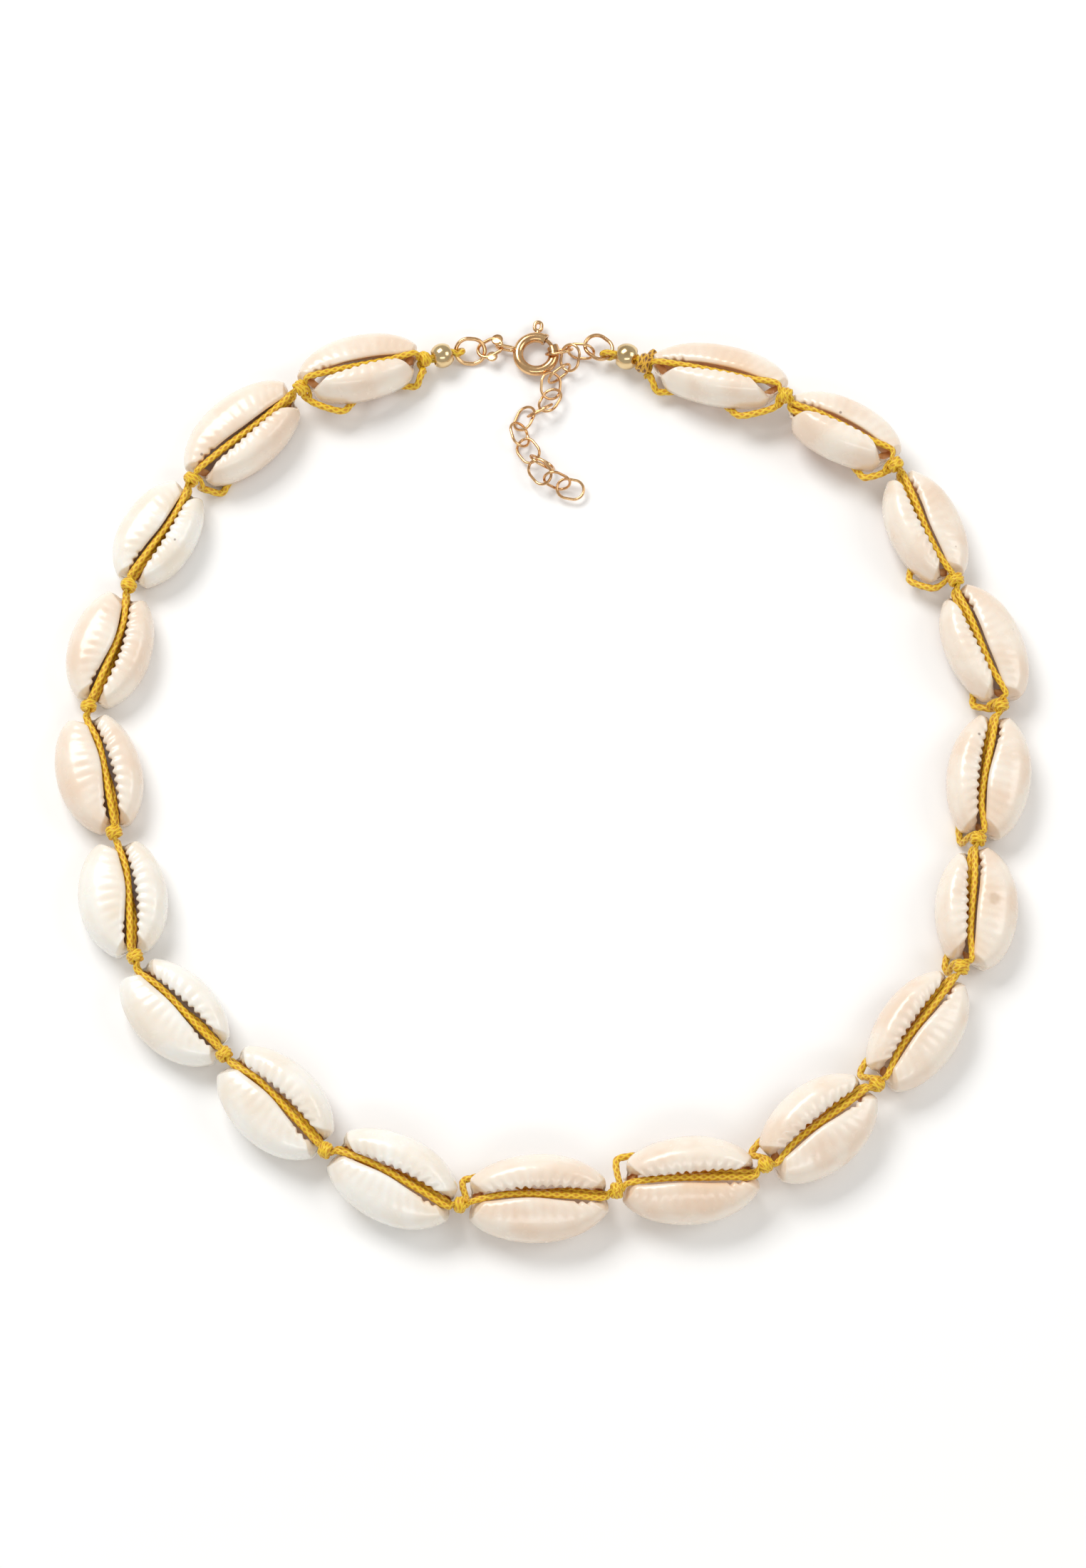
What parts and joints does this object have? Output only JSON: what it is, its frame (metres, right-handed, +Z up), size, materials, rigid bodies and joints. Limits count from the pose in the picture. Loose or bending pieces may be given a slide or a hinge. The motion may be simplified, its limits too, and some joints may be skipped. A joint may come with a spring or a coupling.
{
  "type": "shell necklace",
  "caption": "Choker of open-backed cowrie shells knotted end to end on a double waxed cord, with a spring ring clasp and a short extension chain.",
  "frame": {"origin": "on the surface it lies on, under the middle of the necklace's outer box", "axes": "+Z up from the surface, +Y from the bottom of the loop towards the clasp, +X to the right as seen from above with the clasp at the top"},
  "size_m": [0.123, 0.1228, 0.0092],
  "materials": {
    "shell_cream": "natural gloss of a cowrie, cream",
    "shell_white": "natural gloss of a cowrie, white",
    "cord_gold": "waxed golden cord",
    "cord_brown": "waxed golden cord, darkened where its end is sealed",
    "rose_gold": "polished rose gold plating",
    "bead_gold": "polished champagne gold plating"
  },
  "bodies": {
    "necklace": {"cowrie_01": "shell_cream", "cowrie_02": "shell_cream", "cowrie_03": "shell_white", "cowrie_04": "shell_cream", "cowrie_05": "shell_cream", "cowrie_06": "shell_white", "cowrie_07": "shell_white", "cowrie_08": "shell_white", "cowrie_09": "shell_white", "cowrie_10": "shell_cream", "cowrie_11": "shell_cream", "cowrie_12": "shell_cream", "cowrie_13": "shell_cream", "cowrie_14": "shell_cream", "cowrie_15": "shell_cream", "cowrie_16": "shell_cream", "cowrie_17": "shell_cream", "cowrie_18": "shell_cream", "cowrie_19": "shell_cream", "strand_front": "cord_gold", "strand_back": "cord_gold", "knots": "cord_gold", "end_knot": "cord_brown", "bead_left": "bead_gold", "bead_right": "bead_gold", "ring_left": "rose_gold", "ring_right": "rose_gold", "tag_link": "rose_gold", "clasp_ring": "rose_gold", "chain_link_01": "rose_gold", "chain_link_02": "rose_gold", "chain_link_03": "rose_gold", "chain_link_04": "rose_gold", "chain_link_05": "rose_gold", "chain_link_06": "rose_gold", "chain_link_07": "rose_gold", "chain_link_08": "rose_gold", "chain_link_09": "rose_gold", "chain_link_10": "rose_gold", "chain_link_11": "rose_gold", "chain_link_12": "rose_gold", "chain_link_13": "rose_gold", "chain_link_14": "rose_gold"},
    "lever": {"clasp_lever": "rose_gold"}
  },
  "joints": [
    {"name": "lever_slide", "type": "hinge", "parent": "necklace", "child": "lever", "pos_m": [-0.0009, 0.0567, 0.00125], "axis": [0, 0, 1], "range_deg": [0, 34], "stiffness_Nm_per_rad": 0.0003}
  ]
}
